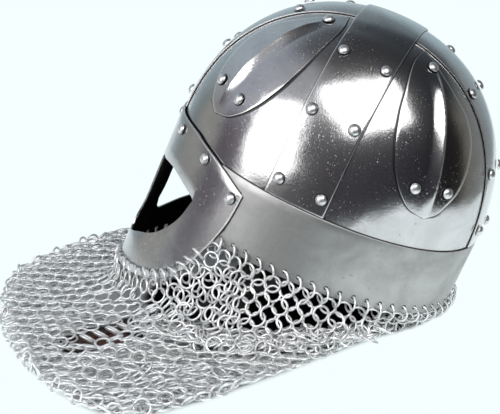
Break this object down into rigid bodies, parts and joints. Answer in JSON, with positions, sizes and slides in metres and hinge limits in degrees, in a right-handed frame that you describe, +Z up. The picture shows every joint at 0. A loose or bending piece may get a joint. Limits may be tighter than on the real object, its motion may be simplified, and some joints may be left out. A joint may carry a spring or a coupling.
{
  "type": "viking helmet",
  "caption": "Domed steel helmet with riveted bands, raised leaves, a face plate with eye openings and a mail aventail, lying on its spread mail.",
  "frame": {"origin": "on the surface that the helmet lies on, below the middle of its whole box, mail included", "axes": "+Z up from the surface, the face and the spread mail look to -Y, +X towards the wearer's left"},
  "size_m": [0.5132, 0.38, 0.2299],
  "materials": {
    "polished_steel": "mirror polished",
    "brushed_steel": "satin",
    "rivet_steel": "polished",
    "zinc_mail": "bright zinc plated",
    "brown_leather": "matt"
  },
  "bodies": {
    "root": {"brow_band": "brushed_steel", "chin_strap": "brown_leather", "crest_band": "polished_steel", "crest_rivet_1": "rivet_steel", "crest_rivet_10": "rivet_steel", "crest_rivet_11": "rivet_steel", "crest_rivet_12": "rivet_steel", "crest_rivet_2": "rivet_steel", "crest_rivet_3": "rivet_steel", "crest_rivet_4": "rivet_steel", "crest_rivet_5": "rivet_steel", "crest_rivet_6": "rivet_steel", "crest_rivet_7": "rivet_steel", "crest_rivet_8": "rivet_steel", "crest_rivet_9": "rivet_steel", "cross_band": "polished_steel", "cross_rivet_1": "rivet_steel", "cross_rivet_10": "rivet_steel", "cross_rivet_11": "rivet_steel", "cross_rivet_12": "rivet_steel", "cross_rivet_2": "rivet_steel", "cross_rivet_3": "rivet_steel", "cross_rivet_4": "rivet_steel", "cross_rivet_5": "rivet_steel", "cross_rivet_6": "rivet_steel", "cross_rivet_7": "rivet_steel", "cross_rivet_8": "rivet_steel", "cross_rivet_9": "rivet_steel", "face_plate": "polished_steel", "leaf_front_left": "polished_steel", "leaf_front_right": "polished_steel", "leaf_rear_left": "polished_steel", "leaf_rear_right": "polished_steel", "leaf_rivet_1": "rivet_steel", "leaf_rivet_10": "rivet_steel", "leaf_rivet_11": "rivet_steel", "leaf_rivet_12": "rivet_steel", "leaf_rivet_2": "rivet_steel", "leaf_rivet_3": "rivet_steel", "leaf_rivet_4": "rivet_steel", "leaf_rivet_5": "rivet_steel", "leaf_rivet_6": "rivet_steel", "leaf_rivet_7": "rivet_steel", "leaf_rivet_8": "rivet_steel", "leaf_rivet_9": "rivet_steel", "mail_aventail": "zinc_mail", "panel_front_left": "polished_steel", "panel_front_right": "polished_steel", "panel_rear_left": "polished_steel", "panel_rear_right": "polished_steel", "plate_rivet_1": "rivet_steel", "plate_rivet_2": "rivet_steel", "plate_rivet_3": "rivet_steel", "plate_rivet_4": "rivet_steel", "plate_rivet_5": "rivet_steel", "plate_rivet_6": "rivet_steel", "plate_rivet_7": "rivet_steel"}
  },
  "joints": []
}
